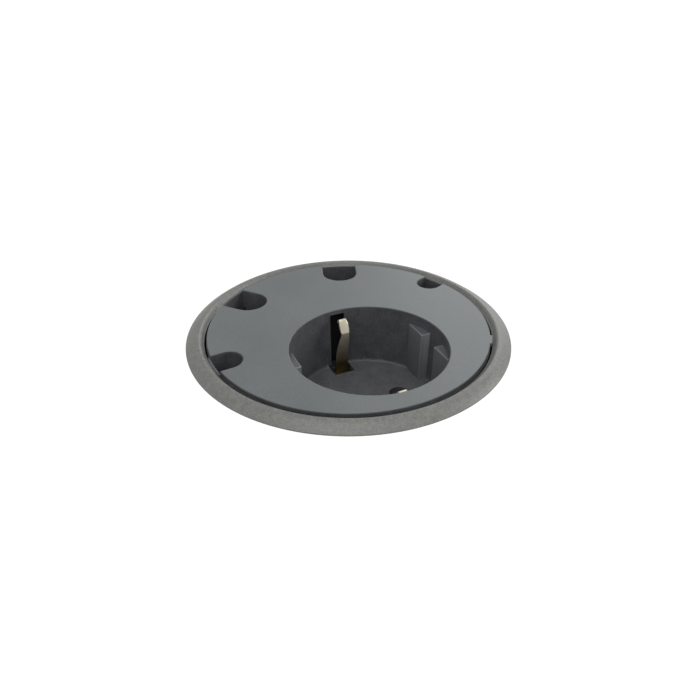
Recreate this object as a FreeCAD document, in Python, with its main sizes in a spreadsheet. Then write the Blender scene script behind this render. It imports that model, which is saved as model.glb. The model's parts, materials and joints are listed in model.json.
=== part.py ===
import FreeCAD, Part
import math
import os
import re
import Sketcher
from FreeCAD import Vector

# Frame: origin on the desk surface at the centre of the trim ring, +Z up, millimetres.
# The socket's own frame has u along the line of the pin holes and v across it.
# Depths are positive numbers measured down from the desk surface.

SIZES = [
    # Desk cut-out and the barrel in it
    ("cutout_radius", 40.0),
    ("cutout_gap", 0.5),
    ("neck_length", 8.0),
    ("neck_step", 0.5),
    ("rim_wall", 1.3),
    ("barrel_wall", 2.0),
    ("barrel_margin", 1.2),
    ("barrel_chamfer", 0.8),
    ("seat_gap", 1.5),
    ("lug_thickness", 3.0),
    ("lug_side", 0.2),
    # Trim ring and the flange below it
    ("ring_width", 4.8),
    ("ring_edge_height", 0.3),
    ("shoulder_inset", 1.4),
    ("shoulder_height", 1.25),
    ("crest_inset", 1.5),
    ("crest_height", 2.15),
    ("crest_round", 0.6),
    ("lip_height", 1.5),
    ("lip_round", 0.25),
    ("flange_inset", 0.6),
    ("flange_thickness", 0.6),
    # Cover disc
    ("disc_gap", 0.65),
    ("disc_top", 1.78),
    ("disc_thickness", 1.28),
    ("key_angle", 349.0),
    ("key_width", 4.0),
    ("key_gap", 0.15),
    ("opening_gap", 0.39),
    # Place of the socket in the barrel: direction from the centre, wall gap and turn
    ("socket_bearing", -62.975),
    ("socket_gap", 2.114),
    ("socket_angle", 24.93),
    # Plug well
    ("well_radius", 20.15),
    ("well_depth", 16.2),
    ("rib_height", 2.73),
    ("rib_depth", 1.39),
    ("rib_inner", 3.04),
    ("rib_outer", 10.1),
    ("pin_offset", 9.5),
    ("pin_hole_radius", 2.7),
    ("floor_thickness", 2.2),
    ("pin_floor_thickness", 0.7),
    ("slot_room", 4.0),
    ("slot_side_gap", 0.39),
    ("slot_foot_gap", 0.2),
    # Insert
    ("deck_gap", 0.5),
    ("deck_thickness", 3.0),
    ("cup_wall", 1.0),
    ("chamber_wall", 1.8),
    ("skirt_wall", 1.5),
    ("skirt_depth", 12.0),
    ("skirt_gap", 0.3),
    ("boss_inset", 3.8),
    ("boss_wall", 2.15),
    ("boss_depth", 11.0),
    ("post_angle", 49.9),
    ("post_inset", 1.53),
    ("post_wall", 1.15),
    # Cable notches: direction, width and length from the disc's rim
    ("notch_angle_a", 45.5),
    ("notch_width_a", 6.75),
    ("notch_length_a", 6.45),
    ("notch_angle_b", 95.0),
    ("notch_width_b", 10.2),
    ("notch_length_b", 10.95),
    ("notch_angle_c", 155.0),
    ("notch_width_c", 10.0),
    ("notch_length_c", 11.05),
    ("notch_angle_d", 209.0),
    ("notch_width_d", 7.3),
    ("notch_length_d", 7.15),
    # Clamp washer and nut, at rest below a desk of this thickness
    ("desk_thickness", 25.0),
    ("washer_clearance", 0.3),
    ("washer_width", 6.7),
    ("washer_thickness", 1.5),
    ("nut_clearance", 0.06),
    ("nut_wall", 4.44),
    ("nut_height", 9.0),
    ("nut_flange_width", 3.0),
    ("nut_flange_height", 2.0),
    ("grip_radius", 1.6),
    # Screws
    ("screw_radius", 1.25),
    ("screw_head_radius", 2.6),
    ("screw_head_height", 1.8),
    ("screw_clearance", 0.25),
    ("screw_slot_width", 0.7),
    ("screw_slot_depth", 0.8),
    ("insert_screw_grip", 5.0),
    ("cover_screw_grip", 8.0),
    ("screw_hole_spare", 4.0),
    ("clamp_screw_head_radius", 2.15),
    ("clamp_screw_tip_gap", 1.2),
    # Shutter and its spring
    ("shutter_clearance", 0.05),
    ("closing_lap", 0.1),
    ("shutter_rail", 1.0),
    ("ramp_drop", 1.0),
    ("ramp_run", 3.6),
    ("window_gap", 0.1),
    ("window_side_gap", 0.3),
    ("recess_gap", 0.3),
    ("end_gap", 0.1),
    ("finger_thickness", 1.0),
    ("groove_wall", 0.8),
    ("spring_packed", 2.5),
    ("spring_coil_radius", 0.9),
    ("spring_wire_radius", 0.2),
    ("spring_turns", 5.0),
    # Contact carrier
    ("carrier_end", 6.1),
    ("carrier_edge", 1.0),
    ("carrier_cover", 0.5),
    ("channel_gap", 0.2),
    ("contact_cap", 1.9),
    ("contact_gap", 0.2),
    ("groove_gap", 0.1),
    ("tail_gap", 0.1),
    ("terminal_side_gap", 0.4),
    # Contacts and terminals
    ("contact_inner_radius", 2.45),
    ("contact_wall", 0.85),
    ("contact_length", 12.5),
    ("contact_slit", 0.9),
    ("tail_drop", 6.7),
    ("tail_thickness", 0.8),
    ("tail_half_width", 2.0),
    ("tail_setback", 1.0),
    ("terminal_half", 3.0),
    ("terminal_gap", 1.7),
    ("terminal_length", 6.0),
    ("terminal_height", 8.5),
    ("earth_terminal_height", 5.5),
    ("wire_hole_radius", 1.4),
    ("wire_drop", 2.4),
    ("terminal_screw_radius", 1.5),
    ("terminal_screw_gap", 0.1),
    # Earth bracket
    ("clip_half_width", 1.25),
    ("clip_shift", 0.43),
    ("clip_thickness", 0.85),
    ("clip_crown_shift", 0.1),
    ("bracket_half_width", 2.7),
    ("bracket_thickness", 0.8),
    ("bracket_inset", 1.95),
    ("foot_length", 3.0),
    ("foot_drop", 0.2),
    # Rear cover, cord clamp and grommet
    ("wiring_gap", 0.9),
    ("cover_thickness", 2.0),
    ("spigot_clearance", 0.1),
    ("spigot_wall", 1.5),
    ("spigot_height", 1.5),
    ("post_relief", 0.3),
    ("pillar_inset", 3.0),
    ("pillar_radius", 2.0),
    ("cord_v", 6.0),
    ("cord_radius", 3.8),
    ("cord_neck_length", 4.0),
    ("cord_neck_wall", 1.5),
    ("grommet_wall", 1.2),
    ("grommet_lip", 0.8),
    ("grommet_setback", 0.3),
    ("clamp_height", 5.0),
    ("clamp_split", 2.0),
    ("clamp_gap", 0.4),
    ("clamp_end", 2.0),
    ("clamp_screw_gap", 3.2),
    ("saddle_width", 3.8),
    ("bar_width", 3.0),
    ("bar_gap", 0.1),
    # How far an added block runs into what carries it, and a cut past the face it opens
    ("root_overlap", 0.5),
    ("cut_margin", 1.0),
]

# Sizes that follow from the ones above
FOLLOWING = {
    "neck_radius": "cutout_radius - cutout_gap",
    "barrel_radius": "neck_radius - neck_step",
    "barrel_bore": "barrel_radius - barrel_wall",
    "ring_bore_radius": "neck_radius - rim_wall",
    "ring_radius": "ring_bore_radius + ring_width",
    "shoulder_radius": "ring_radius - shoulder_inset",
    "crest_radius": "ring_bore_radius + crest_inset",
    "flange_radius": "ring_radius - flange_inset",
    "disc_radius": "ring_bore_radius - disc_gap",
    "disc_bottom": "disc_top - disc_thickness",
    "opening_radius": "well_radius + opening_gap",
    "deck_radius": "ring_bore_radius - deck_gap",
    "seat_depth": "seat_gap + deck_thickness - disc_bottom",
    "skirt_reach": "barrel_bore - skirt_gap",
    "screw_circle": "barrel_bore - boss_inset",
    "boss_radius": "screw_radius + boss_wall",
    "lug_half_width": "boss_radius + lug_side",
    "floor_bottom": "well_depth + floor_thickness",
    "rib_chord": "well_radius - rib_height",
    "bracket_v": "well_radius - bracket_inset",
    "bracket_foot_v": "bracket_v - foot_length",
    "bracket_foot_depth": "floor_bottom + foot_drop",
    "earth_slot_half": "bracket_half_width + slot_side_gap",
    "earth_slot_start": "bracket_foot_v - slot_foot_gap",
    "earth_slot_end": "bracket_v + slot_room",
    "cup_radius": "earth_slot_end + cup_wall",
    "chamber_radius": "cup_radius - chamber_wall",
    "socket_distance": "barrel_bore - cup_radius - socket_gap",
    "socket_x": "socket_distance * cos(socket_bearing)",
    "socket_y": "socket_distance * sin(socket_bearing)",
    "post_distance": "chamber_radius - post_inset",
    "post_u": "post_distance * cos(post_angle)",
    "post_v": "post_distance * sin(post_angle)",
    "post_radius": "screw_radius + post_wall",
    "washer_bore": "barrel_radius + washer_clearance",
    "nut_bore": "barrel_radius + nut_clearance",
    "nut_radius": "nut_bore + nut_wall",
    "shutter_cover": "pin_hole_radius + closing_lap",
    "shutter_travel": "pin_hole_radius + shutter_cover",
    "shutter_thickness": "floor_thickness - pin_floor_thickness - 2 * shutter_clearance",
    "shutter_window": "2 * pin_hole_radius + window_gap",
    "shutter_left": "pin_offset + shutter_cover + shutter_window + shutter_rail",
    "shutter_right": "pin_offset + shutter_cover + shutter_rail",
    "window_half_width": "pin_hole_radius + window_side_gap",
    "shutter_half_width": "window_half_width + shutter_rail",
    "recess_half_width": "shutter_half_width + recess_gap",
    "recess_left": "shutter_left + end_gap",
    "recess_right": "shutter_right + shutter_travel + 2 * end_gap",
    "finger_far": "pin_offset - contact_pocket_radius - groove_wall",
    "spring_start": "finger_far - finger_thickness",
    "spring_length": "shutter_travel + spring_packed",
    "spring_radius": "spring_coil_radius + spring_wire_radius",
    "spring_axis_depth": "floor_bottom + groove_gap + spring_radius",
    "pin_channel_radius": "pin_hole_radius + channel_gap",
    "contact_outer_radius": "contact_inner_radius + contact_wall",
    "contact_pocket_radius": "contact_outer_radius + contact_gap",
    "contact_pocket_top": "floor_bottom + contact_cap",
    "contact_top": "contact_pocket_top + contact_gap",
    "tail_top": "contact_top + tail_drop",
    "terminal_pocket_top": "tail_top - tail_gap",
    "terminal_pocket_half": "terminal_half + terminal_side_gap",
    "terminal_top": "tail_top + tail_thickness",
    "terminal_near": "contact_outer_radius + terminal_gap",
    "terminal_far": "terminal_near + terminal_length",
    "terminal_screw_length": "earth_terminal_height - wire_drop - terminal_screw_gap",
    "carrier_half_u": "pin_offset + carrier_end",
    "carrier_half_v": "terminal_far + carrier_edge",
    "carrier_depth": "terminal_top + terminal_height + carrier_cover",
    "bracket_depth": "carrier_depth + bracket_thickness",
    "insert_depth": "bracket_depth + earth_terminal_height + screw_head_height + wiring_gap",
    "cover_depth": "insert_depth + cover_thickness",
    "grommet_depth": "cover_depth + cord_neck_length",
    "barrel_depth": "grommet_depth + grommet_lip + barrel_margin",
    "pillar_u": "carrier_half_u - pillar_inset",
    "pillar_v": "carrier_half_v - pillar_inset",
    "neck_inner_radius": "cord_radius + grommet_wall",
    "neck_outer_radius": "neck_inner_radius + cord_neck_wall",
    "grommet_flange_radius": "neck_outer_radius - grommet_setback",
    "saddle_far": "cord_v - clamp_split",
    "saddle_near": "saddle_far - saddle_width",
    "clamp_near": "cord_v + clamp_split + clamp_gap",
    "clamp_far": "clamp_near + bar_width",
    "clamp_screw_u": "cord_radius + clamp_screw_gap",
    "clamp_half_length": "clamp_screw_u + clamp_end",
}

NOTCHES = "abcd"
SCREW_COUNT = 3
GRIP_COUNT = 12
TERMINAL_SIDES = (("live", -1), ("neutral", 1))
CORNERS = ((1, 1), (-1, 1), (-1, -1), (1, -1))

# Inner face of an earth clip's head, from its curled tip to its knee: inset from the well's wall and depth
CLIP_HEAD = (
    (1.15, 0.5),
    (2.25, -0.25),
    (2.95, 0.25),
    (3.55, 1.15),
    (4.45, 2.65),
    (4.8, 3.6),
)

# Inner face of its leg: inset from the well's wall and share of the way from the knee down to the foot
CLIP_LEG = (
    (4.5, 0.11),
    (3.3, 0.33),
    (2.2, 0.62),
)

# An edge no taller than this is level
FLAT_ENOUGH = 0.001

# Radius of the circle on which an outline's corners wait before their distances are set
WAITING_RADIUS = 10

doc = FreeCAD.newDocument("DeskPowerModule")


def fill_sheet():
    """Write every size into one spreadsheet, each cell with a word alias."""
    sheet = doc.addObject("Spreadsheet::Sheet", "Dims")
    rows = list(SIZES)
    for index, (inset, depth) in enumerate(CLIP_HEAD):
        rows.append(("clip_inset_%d" % index, inset))
        rows.append(("clip_depth_%d" % index, depth))
    for index, (inset, share) in enumerate(CLIP_LEG):
        rows.append(("leg_inset_%d" % index, inset))
        rows.append(("leg_share_%d" % index, share))
    for row, (name, value) in enumerate(rows, 1):
        sheet.set("A%d" % row, name)
        sheet.set("B%d" % row, str(value))
        sheet.setAlias("B%d" % row, name)
    doc.recompute()


def bound(text):
    """The expression with following sizes written out and the others pointed at the spreadsheet."""
    def written_out(match):
        name = match.group(0)
        if name in FOLLOWING:
            return "(%s)" % bound(FOLLOWING[name])
        return "Dims." + name
    return re.sub(r"\b[a-z]\w*\b(?!\()", written_out, text)


def set_sizes(target, **sizes):
    """Bind properties of an object to expressions of size names."""
    for name, text in sizes.items():
        target.setExpression(name, bound(text))


def place(target, x="0", y="0", z="0", turn="0"):
    """Bind an object's placement: a base point and a turn about Z."""
    target.setExpression("Placement.Base.x", bound(x))
    target.setExpression("Placement.Base.y", bound(y))
    target.setExpression("Placement.Base.z", bound(z))
    target.setExpression("Placement.Rotation.Angle", bound(turn))


def place_in_socket(target, z="0"):
    """Put an object modelled in the socket's own frame where the socket is."""
    place(target, "socket_x", "socket_y", z, "socket_angle")


def new_body(name):
    body = doc.addObject("PartDesign::Body", name)
    body.Label = name
    return body


def new_sketch(body, plane="XY_Plane", height="0", x="0", y="0", turn="0"):
    """An empty sketch on one of the body's origin planes, moved and turned by expressions."""
    support = next(o for o in body.Origin.OriginFeatures if o.Role == plane)
    sketch = body.newObject("Sketcher::SketchObject", body.Name + "_sketch")
    sketch.AttachmentSupport = [(support, "")]
    sketch.MapMode = "FlatFace"
    sketch.setExpression("AttachmentOffset.Base.x", bound(x))
    sketch.setExpression("AttachmentOffset.Base.y", bound(y))
    sketch.setExpression("AttachmentOffset.Base.z", bound(height))
    sketch.setExpression("AttachmentOffset.Rotation.Angle", bound(turn))
    return sketch


def socket_sketch(body, height):
    """A sketch of the socket's own frame, in a body that is modelled in the row's frame."""
    return new_sketch(body, "XY_Plane", height, "socket_x", "socket_y", "socket_angle")


def pin_down(sketch, geometry, point, x, y, start):
    """Fix one point of the sketch by its distances from the origin."""
    for kind, text, value in (("DistanceX", x, start.x), ("DistanceY", y, start.y)):
        index = sketch.addConstraint(Sketcher.Constraint(kind, -1, 1, geometry, point, value))
        sketch.setExpression("Constraints[%d]" % index, bound(text))


def add_circle(sketch, radius, x="0", y="0"):
    start = Vector(1, 1, 0)
    circle = sketch.addGeometry(Part.Circle(start, Vector(0, 0, 1), 1), False)
    index = sketch.addConstraint(Sketcher.Constraint("Radius", circle, 1))
    sketch.setExpression("Constraints[%d]" % index, bound(radius))
    pin_down(sketch, circle, 3, x, y, start)


def add_polygon(sketch, points):
    """A closed outline through points given as pairs of expressions."""
    count = len(points)
    turns = [2 * math.pi * k / count for k in range(count)]
    starts = [Vector(WAITING_RADIUS * math.cos(t), WAITING_RADIUS * math.sin(t), 0) for t in turns]
    first = sketch.GeometryCount
    for k in range(count):
        sketch.addGeometry(Part.LineSegment(starts[k], starts[(k + 1) % count]), False)
    for k in range(count):
        following = first + (k + 1) % count
        sketch.addConstraint(Sketcher.Constraint("Coincident", first + k, 2, following, 1))
    for k, (x, y) in enumerate(points):
        pin_down(sketch, first + k, 1, x, y, starts[k])


def add_rectangle(sketch, left, bottom, right, top):
    add_polygon(sketch, [(left, bottom), (right, bottom), (right, top), (left, top)])


def pad(body, sketch, length, up=True):
    feature = body.newObject("PartDesign::Pad", body.Name + "_pad")
    feature.Profile = sketch
    feature.Reversed = not up
    feature.setExpression("Length", bound(length))
    return feature


def both_ways_pad(body, sketch, length):
    feature = pad(body, sketch, length)
    feature.Midplane = True
    return feature


def pocket(body, sketch, length, up=False):
    feature = body.newObject("PartDesign::Pocket", body.Name + "_pocket")
    feature.Profile = sketch
    feature.Reversed = up
    feature.setExpression("Length", bound(length))
    return feature


def revolve(body, points):
    """Turn an outline of radius and height pairs about the body's Z axis."""
    sketch = new_sketch(body, "XZ_Plane")
    add_polygon(sketch, points)
    feature = body.newObject("PartDesign::Revolution", body.Name + "_turned")
    feature.Profile = sketch
    feature.ReferenceAxis = (sketch, ["V_Axis"])
    feature.Angle = 360
    return feature


def repeat_round(body, features, count):
    """Repeat features evenly about the body's Z axis."""
    axis = next(o for o in body.Origin.OriginFeatures if o.Role == "Z_Axis")
    pattern = body.newObject("PartDesign::PolarPattern", body.Name + "_round")
    pattern.Originals = features
    pattern.Axis = (axis, [""])
    pattern.Angle = 360
    pattern.Occurrences = count
    body.Tip = pattern
    return pattern


def round_edges(body, radius, names):
    """Round the named edges of the body as it stands."""
    base = body.Tip
    feature = body.newObject("PartDesign::Fillet", body.Name + "_round")
    feature.Base = (base, names)
    feature.setExpression("Radius", bound(radius))
    return feature


def notch(letter):
    """The names of one cable notch's sizes: direction, half width and place of the round end's centre."""
    half = "notch_width_%s / 2" % letter
    centre = "disc_radius - notch_length_%s + %s" % (letter, half)
    return "notch_angle_" + letter, half, centre


def cut_notch(body, letter, top, length):
    """Cut one straight-sided, round-ended notch that runs out through the rim."""
    angle, half, centre = notch(letter)
    lane = new_sketch(body, height=top, turn=angle)
    add_rectangle(lane, centre, "-(%s)" % half, "ring_radius", half)
    pocket(body, lane, length)
    end = new_sketch(body, height=top, turn=angle)
    add_circle(end, half, centre)
    pocket(body, end, length)


def circles_from_the_top(shape):
    """Height, radius and name of each level circular edge, the highest first."""
    circles = []
    for number, edge in enumerate(shape.Edges, 1):
        if edge.BoundBox.ZLength < FLAT_ENOUGH and hasattr(edge.Curve, "Radius"):
            circles.append((edge.BoundBox.ZMax, edge.Curve.Radius, "Edge%d" % number))
    return sorted(circles, reverse=True)


def make_trim_ring():
    body = new_body("trim_ring")
    revolve(body, [
        ("ring_radius", "0"),
        ("ring_radius", "ring_edge_height"),
        ("shoulder_radius", "shoulder_height"),
        ("crest_radius", "crest_height"),
        ("ring_bore_radius", "lip_height"),
        ("ring_bore_radius", "flange_thickness"),
        ("flange_radius", "flange_thickness"),
        ("flange_radius", "0"),
    ])
    round_ring_face(body)
    return body


def round_ring_face(body):
    """Round the highest edge inside the crest, then the crest."""
    doc.recompute()
    crest = circles_from_the_top(body.Tip.Shape)[0]
    lip = next(c for c in circles_from_the_top(body.Tip.Shape) if c[1] < crest[1])
    round_edges(body, "lip_round", [lip[2]])
    doc.recompute()
    round_edges(body, "crest_round", [circles_from_the_top(body.Tip.Shape)[0][2]])


def make_cover_disc():
    body = new_body("cover_disc")
    top = "disc_top"
    plate = new_sketch(body, height=top)
    add_circle(plate, "disc_radius")
    pad(body, plate, "disc_thickness", up=False)
    key = new_sketch(body, height=top, turn="key_angle")
    add_rectangle(key, "disc_radius - root_overlap", "-key_width / 2", "ring_bore_radius - key_gap", "key_width / 2")
    pad(body, key, "disc_thickness", up=False)
    opening = socket_sketch(body, top)
    add_circle(opening, "opening_radius")
    pocket(body, opening, "disc_thickness")
    for letter in NOTCHES:
        cut_notch(body, letter, top, "disc_thickness")
    return body


def add_insert_shell(body):
    """The deck, the cup with its lower housing, the notch skirts and the screw bosses."""
    cup = socket_sketch(body, "0")
    add_circle(cup, "cup_radius")
    pad(body, cup, "insert_depth", up=False)
    for letter in NOTCHES:
        angle, half, centre = notch(letter)
        lane = new_sketch(body, turn=angle)
        add_rectangle(lane, centre, "-(%s) - skirt_wall" % half, "ring_radius", "%s + skirt_wall" % half)
        pad(body, lane, "skirt_depth", up=False)
        end = new_sketch(body, turn=angle)
        add_circle(end, half + " + skirt_wall", centre)
        pad(body, end, "skirt_depth", up=False)
    trim = new_sketch(body)
    add_circle(trim, "ring_radius + cut_margin")
    add_circle(trim, "skirt_reach")
    pocket(body, trim, "skirt_depth")
    boss = new_sketch(body)
    add_circle(boss, "boss_radius", "screw_circle")
    feature = pad(body, boss, "boss_depth", up=False)
    repeat_round(body, [feature], SCREW_COUNT)
    deck = new_sketch(body, height="disc_bottom")
    add_circle(deck, "deck_radius")
    pad(body, deck, "deck_thickness", up=False)


def cut_insert_cavities(body):
    """The plug well, the contact chamber, the shutter's recess, the pin holes and the earth slots."""
    well = socket_sketch(body, "disc_bottom")
    add_circle(well, "well_radius")
    pocket(body, well, "well_depth + disc_bottom")
    chamber = socket_sketch(body, "-insert_depth")
    add_circle(chamber, "chamber_radius")
    pocket(body, chamber, "insert_depth - floor_bottom", up=True)
    recess = socket_sketch(body, "-floor_bottom")
    add_rectangle(recess, "-recess_left", "-recess_half_width", "recess_right", "recess_half_width")
    pocket(body, recess, "floor_thickness - pin_floor_thickness", up=True)
    holes = socket_sketch(body, "-well_depth")
    for side in ("", "-"):
        add_circle(holes, "pin_hole_radius", side + "pin_offset")
    pocket(body, holes, "floor_thickness")
    slots = socket_sketch(body, "disc_bottom")
    add_rectangle(slots, "-earth_slot_half", "earth_slot_start", "earth_slot_half", "earth_slot_end")
    add_rectangle(slots, "-earth_slot_half", "-earth_slot_end", "earth_slot_half", "-earth_slot_start")
    pocket(body, slots, "disc_bottom + floor_bottom")


def add_insert_ribs_and_posts(body):
    """The four guide ribs in the well and the four screw posts in the chamber."""
    ribs = socket_sketch(body, "-rib_depth")
    for u, v in CORNERS:
        add_rectangle(ribs, "%d * rib_chord" % u, "%d * rib_inner" % v,
                      "%d * (well_radius + root_overlap)" % u, "%d * rib_outer" % v)
    pad(body, ribs, "well_depth - rib_depth + pin_floor_thickness", up=False)
    posts = socket_sketch(body, "-insert_depth")
    holes = socket_sketch(body, "-insert_depth")
    for u, v in CORNERS:
        x, y = "%d * post_u" % u, "%d * post_v" % v
        add_circle(posts, "post_radius", x, y)
        add_circle(holes, "screw_radius", x, y)
    pad(body, posts, "insert_depth - well_depth - pin_floor_thickness")
    pocket(body, holes, "cover_screw_grip + screw_hole_spare", up=True)


def make_socket_insert():
    body = new_body("socket_insert")
    add_insert_shell(body)
    cut_insert_cavities(body)
    add_insert_ribs_and_posts(body)
    for letter in NOTCHES:
        cut_notch(body, letter, "disc_bottom", "disc_bottom + skirt_depth")
    hole = new_sketch(body, height="-boss_depth")
    add_circle(hole, "screw_radius", "screw_circle")
    feature = pocket(body, hole, "boss_depth - deck_thickness", up=True)
    repeat_round(body, [feature], SCREW_COUNT)
    return body


def make_barrel():
    body = new_body("barrel")
    revolve(body, [
        ("ring_bore_radius", "flange_thickness"),
        ("flange_radius", "flange_thickness"),
        ("flange_radius", "0"),
        ("neck_radius", "0"),
        ("neck_radius", "-neck_length"),
        ("barrel_radius", "-neck_length"),
        ("barrel_radius", "barrel_chamfer - barrel_depth"),
        ("barrel_radius - barrel_chamfer", "-barrel_depth"),
        ("barrel_bore", "-barrel_depth"),
        ("barrel_bore", "-seat_depth"),
        ("ring_bore_radius", "-seat_depth"),
    ])
    lug = new_sketch(body, height="-boss_depth")
    add_rectangle(lug, "screw_circle - lug_half_width", "-lug_half_width",
                  "barrel_bore + root_overlap", "lug_half_width")
    block = pad(body, lug, "lug_thickness", up=False)
    repeat_round(body, [block], SCREW_COUNT)
    hole = new_sketch(body, height="-boss_depth")
    add_circle(hole, "screw_radius + screw_clearance", "screw_circle")
    bore = pocket(body, hole, "lug_thickness")
    repeat_round(body, [bore], SCREW_COUNT)
    return body


def make_clamp_washer():
    body = new_body("clamp_washer")
    face = new_sketch(body, height="-desk_thickness")
    add_circle(face, "washer_bore + washer_width")
    add_circle(face, "washer_bore")
    pad(body, face, "washer_thickness", up=False)
    return body


def make_clamp_nut():
    body = new_body("clamp_nut")
    top = "-desk_thickness - washer_thickness"
    flange_radius = "nut_radius + nut_flange_width"
    revolve(body, [
        ("nut_bore", top),
        (flange_radius, top),
        (flange_radius, top + " - nut_flange_height"),
        ("nut_radius", top + " - nut_flange_height"),
        ("nut_radius", top + " - nut_height"),
        ("nut_bore", top + " - nut_height"),
    ])
    grip = new_sketch(body, height=top)
    add_circle(grip, "grip_radius", "nut_radius")
    rib = pad(body, grip, "nut_height", up=False)
    repeat_round(body, [rib], GRIP_COUNT)
    return body


def make_screw(name, shank_radius, shank_length, head_radius="screw_head_radius"):
    """A slotted screw that points up from the origin, its head below it."""
    shank = doc.addObject("Part::Cylinder", name + "_shank")
    set_sizes(shank, Radius=shank_radius, Height=shank_length)
    head = doc.addObject("Part::Cylinder", name + "_head")
    set_sizes(head, Radius=head_radius, Height="screw_head_height")
    place(head, z="-screw_head_height")
    whole = doc.addObject("Part::Fuse", name + "_whole")
    whole.Base = shank
    whole.Tool = head
    slot = doc.addObject("Part::Box", name + "_slot")
    set_sizes(slot, Length="2 * (%s)" % head_radius, Width="screw_slot_width", Height="screw_slot_depth")
    place(slot, "-(%s)" % head_radius, "-screw_slot_width / 2", "-screw_head_height")
    screw = doc.addObject("Part::Cut", name)
    screw.Base = whole
    screw.Tool = slot
    return screw


def gather(name, parts):
    """Several separate solids as one sub-part."""
    group = doc.addObject("Part::Compound", name)
    group.Label = name
    group.Links = parts
    return group


def make_insert_screws():
    screws = []
    for k in range(SCREW_COUNT):
        screw = make_screw("insert_screw_%d" % k, "screw_radius", "lug_thickness + insert_screw_grip")
        turn = 2 * math.pi * k / SCREW_COUNT
        x = "screw_circle * %.9f" % math.cos(turn)
        y = "screw_circle * %.9f" % math.sin(turn)
        place(screw, x, y, "-boss_depth - lug_thickness")
        screws.append(screw)
    return gather("insert_screws", screws)


def make_shutter():
    """A slide that covers both pin holes, with a window beside each and a finger down to its spring."""
    body = new_body("shutter")
    place_in_socket(body)
    top = "-well_depth - pin_floor_thickness - shutter_clearance"
    plate = new_sketch(body, height=top)
    add_rectangle(plate, "-shutter_left", "-shutter_half_width", "shutter_right", "shutter_half_width")
    for side in ("", "-"):
        edge = "%spin_offset - shutter_cover" % side
        add_rectangle(plate, edge + " - shutter_window", "-window_half_width", edge, "window_half_width")
    pad(body, plate, "shutter_thickness", up=False)
    for side in ("", "-"):
        edge = "%spin_offset - shutter_cover" % side
        ramp = new_sketch(body, "XZ_Plane")
        add_polygon(ramp, [
            (edge, top),
            (edge + " + ramp_run", top),
            (edge, top + " - ramp_drop"),
        ])
        slope = pocket(body, ramp, "2 * window_half_width")
        slope.Midplane = True
    finger = new_sketch(body, height=top + " - shutter_thickness")
    add_rectangle(finger, "-finger_far", "-spring_coil_radius", "-spring_start", "spring_coil_radius")
    pad(body, finger, "shutter_clearance + 2 * spring_radius", up=False)
    return body


def make_shutter_spring():
    """A coil spring along u, between the shutter's finger and the end of the carrier's groove."""
    helix = doc.addObject("Part::Helix", "spring_path")
    helix.LocalCoord = 0
    set_sizes(helix, Pitch="spring_length / spring_turns", Height="spring_length - 2 * spring_wire_radius",
              Radius="spring_coil_radius")
    profile = doc.addObject("Part::Circle", "spring_wire")
    set_sizes(profile, Radius="spring_wire_radius")
    profile.Placement.Rotation = FreeCAD.Rotation(Vector(1, 0, 0), 90)
    profile.setExpression("Placement.Base.x", bound("spring_coil_radius"))
    coil = doc.addObject("Part::Sweep", "spring_coil")
    coil.Sections = [profile]
    coil.Spine = (helix, ["Edge1"])
    coil.Solid = True
    coil.Frenet = True
    coil.Placement.Rotation = FreeCAD.Rotation(Vector(0, 1, 0), 90)
    coil.setExpression("Placement.Base.x", bound("spring_wire_radius - spring_start"))
    coil.setExpression("Placement.Base.z", bound("-spring_axis_depth"))
    spring = gather("shutter_spring", [coil])
    place_in_socket(spring)
    return spring


def make_contact_carrier():
    body = new_body("contact_carrier")
    place_in_socket(body)
    top = "-floor_bottom"
    height = "carrier_depth - floor_bottom"
    block = new_sketch(body, height=top)
    add_rectangle(block, "-carrier_half_u", "-carrier_half_v", "carrier_half_u", "carrier_half_v")
    pad(body, block, height, up=False)
    channels = new_sketch(body, height=top)
    pockets = new_sketch(body, height="-carrier_depth")
    bays = new_sketch(body, height="-carrier_depth")
    for side in ("", "-"):
        centre = side + "pin_offset"
        add_circle(channels, "pin_channel_radius", centre)
        add_circle(pockets, "contact_pocket_radius", centre)
        add_rectangle(bays, centre + " - terminal_pocket_half", "0",
                      centre + " + terminal_pocket_half", "carrier_half_v + cut_margin")
    pocket(body, channels, height)
    pocket(body, pockets, "carrier_depth - contact_pocket_top", up=True)
    pocket(body, bays, "carrier_depth - terminal_pocket_top", up=True)
    groove = new_sketch(body, height=top)
    reach = "spring_radius + groove_gap"
    add_rectangle(groove, "-finger_far - end_gap", "-(%s)" % reach, "spring_length - spring_start", reach)
    pocket(body, groove, "2 * (%s)" % reach)
    return body


def make_contact(name, side):
    """A slit sleeve that grips one pin, with a tail to its terminal."""
    centre = "%d * pin_offset" % side
    body = new_body("contact_" + name)
    place_in_socket(body)
    sleeve = new_sketch(body, height="-contact_top")
    add_circle(sleeve, "contact_outer_radius", centre)
    pad(body, sleeve, "contact_length", up=False)
    tail = new_sketch(body, height="-tail_top")
    add_rectangle(tail, centre + " - tail_half_width", "0",
                  centre + " + tail_half_width", "terminal_far - tail_setback")
    pad(body, tail, "tail_thickness", up=False)
    bore = new_sketch(body, height="-contact_top")
    add_circle(bore, "contact_inner_radius", centre)
    pocket(body, bore, "contact_length")
    slit = new_sketch(body, height="-contact_top")
    add_rectangle(slit, centre + " - contact_slit / 2", "-contact_outer_radius - cut_margin",
                  centre + " + contact_slit / 2", "0")
    pocket(body, slit, "contact_length")
    return body


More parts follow.
